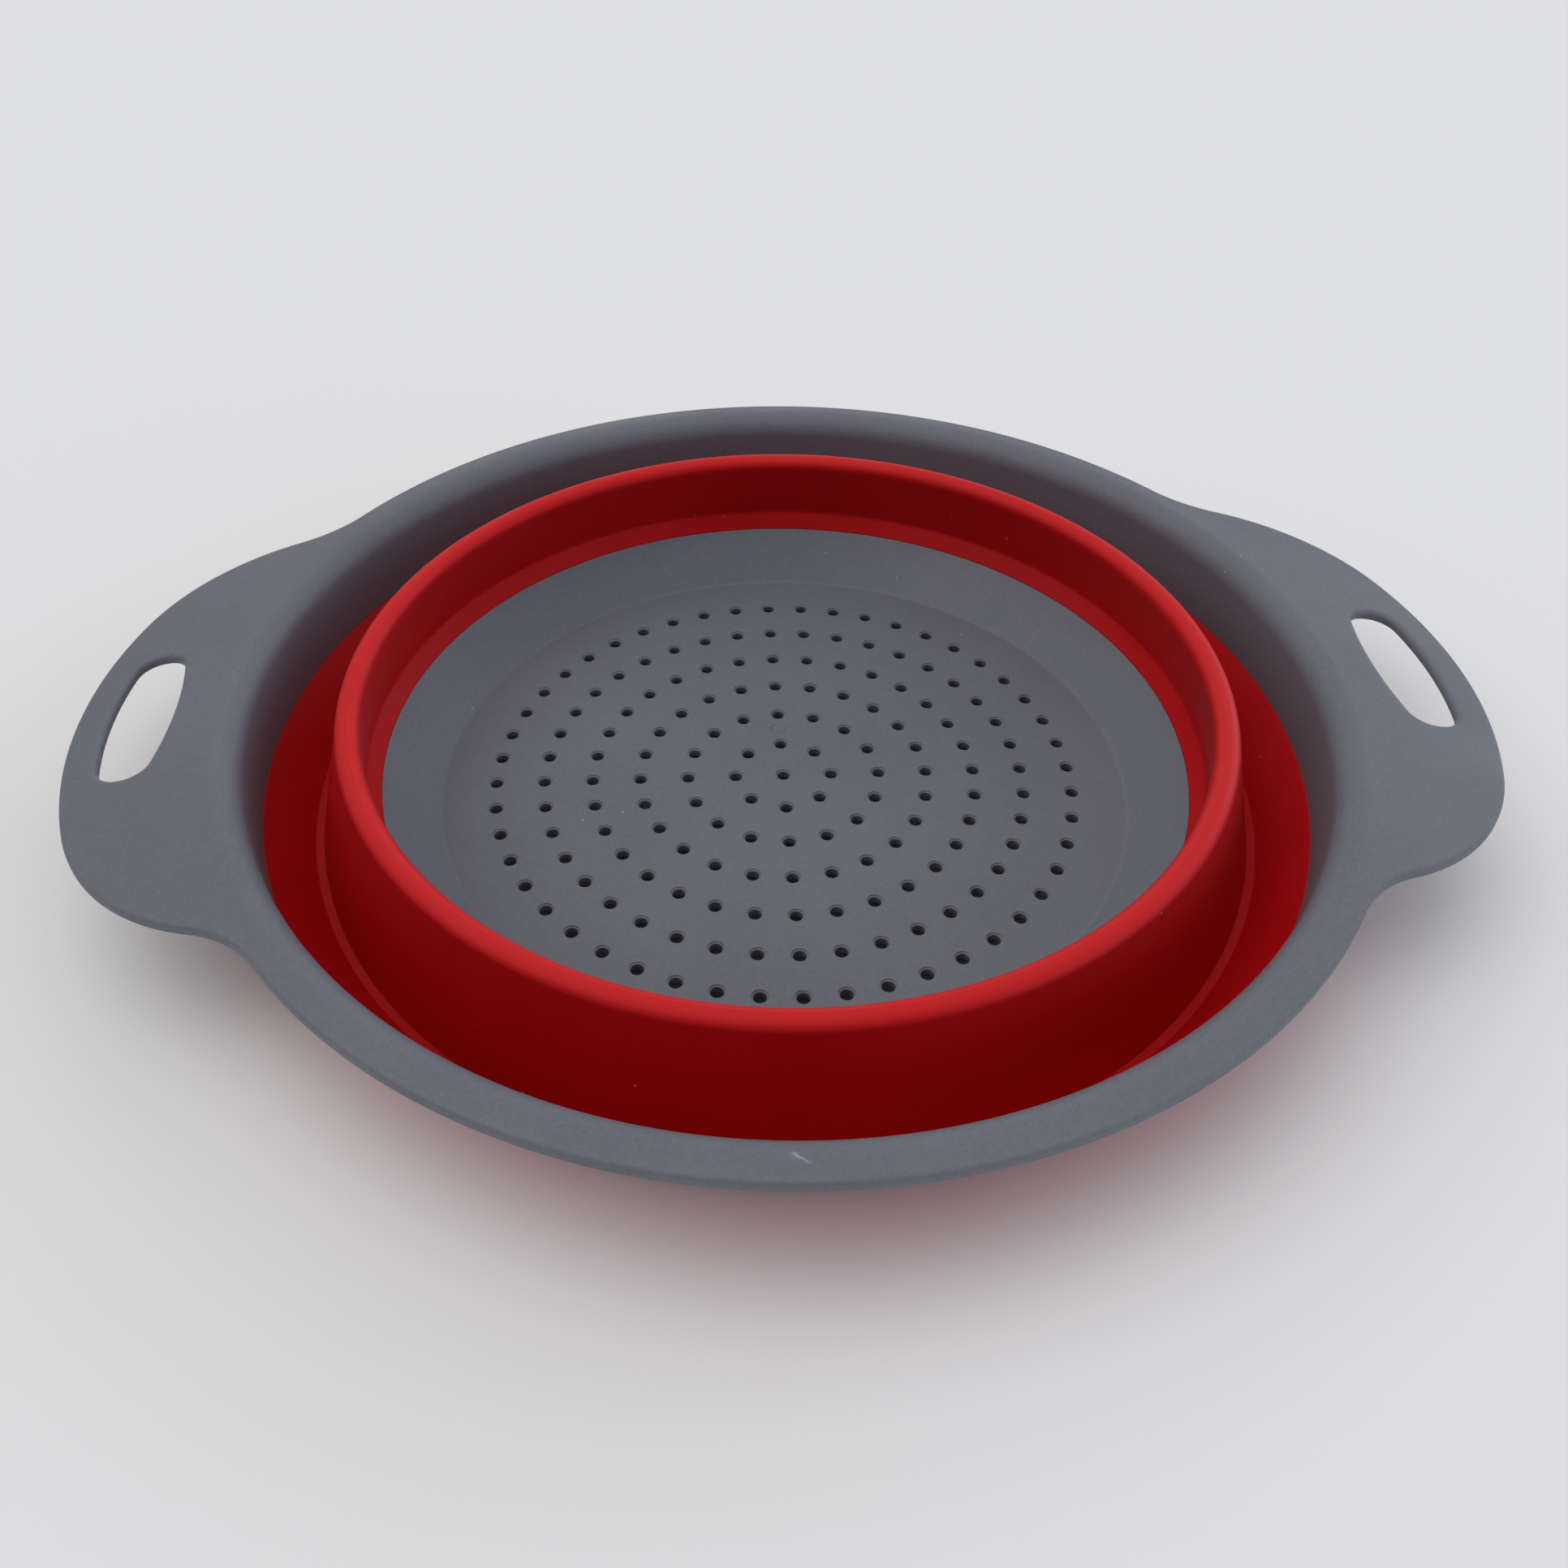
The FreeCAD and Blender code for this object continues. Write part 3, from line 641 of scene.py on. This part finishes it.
def make_strainer():
    """Perforated floor, flared wall and feet in one moulding."""
    build = Build()
    section = with_steps(corners_rounded([
        (FLAT_RADIUS, FLOOR_TOP, 0),
        (FLOOR_RADIUS, FLOOR_TOP, FLOOR_FILLET),
        (FLARE_RADIUS, FLARE_TOP, 0.3),
        (TONGUE_IN, FLARE_TOP, 0),
        (TONGUE_IN, TONGUE_TOP, 0),
        (TONGUE_OUT, TONGUE_TOP, 0),
        (TONGUE_OUT, under_flare(TONGUE_OUT), 0),
        (UNDER_CORNER, FEET_HEIGHT, 3.0),
        (UNDER_EDGE, FEET_HEIGHT, 0),
    ], closed=False), SECTION_STEP, closed=False)
    floor_edge, under_edge = build.chain([build.ring(round_ring(r, z)) for r, z in section])

    def sink(x, y, stations):
        """Joined circles down into the floor, as (radius, drop) stations."""
        loops = []
        for radius, drop in stations:
            circle = [(x + px, y + py, FLOOR_TOP + drop) for px, py, _ in round_ring(radius, 0, HOLE_SIDES)]
            loops.append(build.ring(circle))
        return build.chain(loops)

    depth = FLOOR_TOP - FEET_HEIGHT
    stations = [
        (BORE_RADIUS + HOLE_MARGIN, 0.0),
        (BORE_RADIUS + BORE_BEVEL, 0.0),
        (BORE_RADIUS, -BORE_BEVEL),
        (BORE_RADIUS, -BORE_DEPTH + BORE_HEEL),
        (BORE_RADIUS - BORE_BEVEL, -BORE_DEPTH),
        (HOLE_RADIUS + HOLE_BEVEL, -BORE_DEPTH),
        (HOLE_RADIUS, -BORE_DEPTH - HOLE_BEVEL),
        (HOLE_RADIUS, -BORE_DEPTH - HOLE_MARGIN),
        (HOLE_RADIUS, -depth + HOLE_MARGIN),
        (HOLE_RADIUS + HOLE_MARGIN, -depth),
    ]
    hole_tops, hole_bottoms = zip(*[sink(x, y, stations) for x, y in hole_places()])
    gate_edge, gate_middle = sink(*GATE_PLACE, GATE_STATIONS)
    build.faces.append(tuple(gate_middle))

    feet = []
    for number in range(FOOT_COUNT):
        outline = foot_outline(360 * number / FOOT_COUNT)
        foot_top, sole = build.chain([
            build.ring([(x - a * inset, y - b * inset, height) for x, y, a, b in outline])
            for inset, height in FOOT_STATIONS
        ])
        build.faces.append(tuple(sole))
        feet.append(foot_top)

    within = 0.99  # of a hole's radius, which is just inside the straight sides that draw its edge

    def on_floor(x, y):
        if math.hypot(x, y) > FLAT_RADIUS:
            return False
        if math.hypot(x - GATE_PLACE[0], y - GATE_PLACE[1]) < GATE_STATIONS[0][0] * within:
            return False
        return off_holes(x, y, stations[0][0] * within)

    foot_tests = [inside_polygon([build.points[n] for n in loop]) for loop in feet]

    def under_floor(x, y):
        radius = math.hypot(x, y)
        if radius > UNDER_EDGE:
            return False
        if radius > FOOT_IN - 1 and any(test(x, y) for test in foot_tests):
            return False
        return off_holes(x, y, stations[-1][0] * within)

    build.fill([floor_edge, *hole_tops, gate_edge], on_floor, lambda x, y: FLOOR_TOP, FLOOR_SPACING)
    build.fill([under_edge, *hole_bottoms, *feet], under_floor, lambda x, y: FEET_HEIGHT, FLOOR_SPACING)
    piece = build.finish("strainer_moulding", GREY)
    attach(piece, "base")
    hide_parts("strainer_base")


# ------------------------------------------------------------------ folding wall
FOLD_FOOT = 3.9  # the band's foot is sunk in the crease ring down to here
# the painted highlight, a paler red standing in for the light on the crest's top, rises over this span of
# height
HIGHLIGHT_START, HIGHLIGHT_SPAN = 0.5, 1.5  # above the middle of the crest's roll
TONGUE_GAP = 0.1
BOND_LIP_IN, BOND_LIP_FOOT = 84.0, 12.6
SOCKET_IN, SOCKET_OUT, SOCKET_TOP = 110.4, 111.2, 20.0
# the collar's outside, from the socket down to the crease: radius, height and rounding
COLLAR_OUTSIDE = ((111.0, 17.2, 1.0), (109.0, 13.4, 1.0), (107.6, 11.2, 1.5), (101.53, 3.98, 0.8))


def crest_half(side, outside_foot, inside_foot):
    """The outer half (side 1) or inner half (side -1) of the crest's roll, over its top and beneath it.

    Each arc runs between the apex and the place where the straight to its foot leaves it.
    """
    middle = (CREST_RADIUS, CREST_HEIGHT)

    def leaving_angle(radius, foot):
        across, down = foot[0] - middle[0], foot[1] - middle[1]
        opening = math.degrees(math.acos(radius / math.hypot(across, down)))
        return (math.degrees(math.atan2(down, across)) + side * opening) % 360

    inner = CREST_ROLL - WALL
    over = arc(middle, CREST_ROLL, 90, leaving_angle(CREST_ROLL, outside_foot), step=4)
    beneath = arc(middle, inner, leaving_angle(inner, inside_foot), 90, step=10)
    return over, beneath


def with_crest_highlight(piece):
    """Keeps the share of the painted highlight, a paler red standing in for the light on the crest's top, on
    each of the piece's points.
    """
    painted_crest_highlight = piece.data.attributes.new("crest", "FLOAT", "POINT")
    heights = [vertex.co.z / MM - CREST_HEIGHT for vertex in piece.data.vertices]
    shares = [min(1.0, max(0.0, (height - HIGHLIGHT_START) / HIGHLIGHT_SPAN)) for height in heights]
    painted_crest_highlight.data.foreach_set("value", shares)
    return piece


def make_inner_wall():
    """Ledge, inner band and the inner half of the crest, which stay with the strainer base."""
    over, beneath = crest_half(-1, (LEDGE_RADIUS, LEDGE_TOP), (BOND_LIP_OUT, LEDGE_TOP))
    down = corners_rounded([
        (*over[-1], 0),
        (LEDGE_RADIUS, LEDGE_TOP, 1.2),
        (FLARE_RADIUS, FLARE_TOP, 0.0),
        (TONGUE_IN - TONGUE_GAP, FLARE_TOP, 0),
        (TONGUE_IN - TONGUE_GAP, TONGUE_TOP, 0),
        (TONGUE_OUT + TONGUE_GAP, TONGUE_TOP, 0),
        (TONGUE_OUT + TONGUE_GAP, under_flare(TONGUE_OUT) - TONGUE_GAP / 2, 0),
        (BOND_LIP_IN, under_flare(BOND_LIP_IN) - TONGUE_GAP, 0.3),
        (BOND_LIP_IN + 1.0, BOND_LIP_FOOT - 3.0, 0.5),
        (BOND_LIP_OUT, BOND_LIP_FOOT, 1.5),
        (BOND_LIP_OUT, LEDGE_TOP, 0.8),
        (*beneath[0], 0),
    ], closed=False)
    section = over[:-1] + with_steps(down, SECTION_STEP, closed=False)[:-1] + beneath
    piece = with_crest_highlight(turned("inner_wall", section, RED))
    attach(piece, "base")
    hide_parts("wall_base_collar", "wall_inner_band", "wall_crest_bead")


def make_fold_wall():
    """The band with the outer half of the crest, made at rest; on the colander it turns over as the rim
    rises.
    """
    inside = CREASE_RADIUS - WALL_ACROSS
    over, beneath = crest_half(1, (CREASE_RADIUS, CREASE_HEIGHT), (inside, CREASE_HEIGHT))
    down = corners_rounded([
        (*over[-1], 0),
        (CREASE_RADIUS, CREASE_HEIGHT, 0),
        (CREASE_RADIUS, FOLD_FOOT, 0),
        (inside + 0.2, FOLD_FOOT, 0.4),
        (inside, CREASE_HEIGHT, 0),
        (*beneath[0], 0),
    ], closed=False)
    section = over[:-1] + with_steps(down, FOLD_STEP, closed=False)[:-1] + beneath
    piece = with_crest_highlight(turned("fold_wall", section, RED))
    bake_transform(piece)
    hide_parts("wall_fold_band")


def make_outer_wall():
    """Crease ring, conical collar and the socket round the skirt's edge, which rise with the rim."""
    low = CREASE_HEIGHT - CREASE_DEPTH
    inside = CREASE_RADIUS - WALL_ACROSS
    corners = [
        (inside + 0.3, CREASE_HEIGHT - 0.1, 0.0),
        (CREASE_OUT, CREASE_HEIGHT, 0.25),
        (SKIRT_RADIUS, SKIRT_HEIGHT, 0.0),
        (SKIRT_RADIUS + SKIRT_FOOT + 0.05, SKIRT_HEIGHT, 0),
        (SOCKET_IN, SOCKET_TOP, 0),
        (SOCKET_OUT, SOCKET_TOP, 0.5),
        *COLLAR_OUTSIDE,
        (CREASE_TOE, low, 0.5),
        (inside + 0.6, low, 0.8),
    ]
    piece = turned("outer_wall", with_steps(corners_rounded(corners), COLLAR_STEP), RED)
    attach(piece, "rim")
    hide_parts("wall_outer_collar", "wall_crease_ring")


make_rim()
make_strainer()
make_inner_wall()
make_fold_wall()
make_outer_wall()


# ------------------------------------------------------------------ floor, light and camera
FLOOR_HALF = 6.0  # metres

# soft patches of studio light: elevation and azimuth in degrees, tightness, strength and tint
SKY_PATCHES = (
    (90, 0, 9, 1.5, (1.0, 0.99, 0.98)),
    (48, 185, 7, 1.6, (1.0, 1.0, 1.0)),
    (15, 30, 16, 2.2, (0.93, 0.99, 1.12)),
    (15, 330, 16, 2.2, (0.93, 0.99, 1.12)),
    (15, 90, 7, 1.0, (1.0, 1.0, 1.0)),
)
BACKDROP = (0.74, 0.75, 0.77, 1)

# the camera's place is in metres, its turn in degrees, and its lens and sensor in millimetres
CAMERA_PLACE, CAMERA_TURN = (-0.02276, -0.23769, 0.21883), (48.359, -0.022, -3.614)
LENS, SENSOR_WIDTH = 33.56, 36.0
SHIFT_ACROSS, SHIFT_UP = 0.0226, -0.0092


def make_floor():
    """A plain pale floor."""
    mesh = bpy.data.meshes.new("floor")
    half = FLOOR_HALF
    corners = [(-half, -half, 0), (half, -half, 0), (half, half, 0), (-half, half, 0)]
    mesh.from_pydata(corners, [], [(0, 1, 2, 3)])
    floor = bpy.data.objects.new("floor", mesh)
    bpy.context.scene.collection.objects.link(floor)
    material, tree, shader, place = new_material("pale_floor")
    tone = colour_mix(tree, noise(tree, place, 1.5, 2.0), (0.91, 0.91, 0.91, 1), (0.93, 0.93, 0.93, 1))
    tree.links.new(tone, shader.inputs["Base Color"])
    shader.inputs["Roughness"].default_value = 0.9
    mesh.materials.append(material)


def make_light():
    """A studio dome whose brightness is the sum of the soft patches."""
    world = bpy.data.worlds.new("studio")
    world.use_nodes = True
    tree = world.node_tree
    place = node(tree, "ShaderNodeTexCoord").outputs["Generated"]
    unit = node(tree, "ShaderNodeVectorMath", {0: place}, operation="NORMALIZE").outputs[0]
    total = None
    for elevation, azimuth, tightness, strength, tint in SKY_PATCHES:
        rise, turn = math.radians(elevation), math.radians(azimuth)
        centre = (math.cos(rise) * math.cos(turn), math.cos(rise) * math.sin(turn), math.sin(rise))
        facing = node(tree, "ShaderNodeVectorMath", {0: unit, 1: centre}, operation="DOT_PRODUCT")
        dot = facing.outputs["Value"]
        fall = node(tree, "ShaderNodeMath", {0: dot, 1: 1.0}, operation="SUBTRACT").outputs[0]
        fall = node(tree, "ShaderNodeMath", {0: fall, 1: tightness}, operation="MULTIPLY").outputs[0]
        patch = node(tree, "ShaderNodeMath", {0: fall}, operation="EXPONENT").outputs[0]
        light = [channel * strength for channel in tint]
        lit = node(tree, "ShaderNodeVectorMath", {0: light, "Scale": patch}, operation="SCALE").outputs[0]
        if total is not None:
            lit = node(tree, "ShaderNodeVectorMath", {0: total, 1: lit}, operation="ADD").outputs[0]
        total = lit
    # the backdrop is plain and pale, and the patches only light the object
    shown = node(tree, "ShaderNodeLightPath").outputs["Is Camera Ray"]
    tree.links.new(colour_mix(tree, shown, total, BACKDROP), tree.nodes["Background"].inputs["Color"])
    tree.nodes["Background"].inputs["Strength"].default_value = 1.0
    bpy.context.scene.world = world


def make_camera():
    """Above the front edge, looking down about 42 degrees."""
    data = bpy.data.cameras.new("camera")
    data.sensor_width = SENSOR_WIDTH
    data.lens = LENS
    data.shift_x = SHIFT_ACROSS
    data.shift_y = SHIFT_UP
    camera = bpy.data.objects.new("camera", data)
    camera.location = CAMERA_PLACE
    camera.rotation_euler = [math.radians(a) for a in CAMERA_TURN]
    bpy.context.scene.collection.objects.link(camera)
    bpy.context.scene.camera = camera


make_floor()
make_light()
make_camera()
bpy.context.scene.view_settings.view_transform = "Standard"
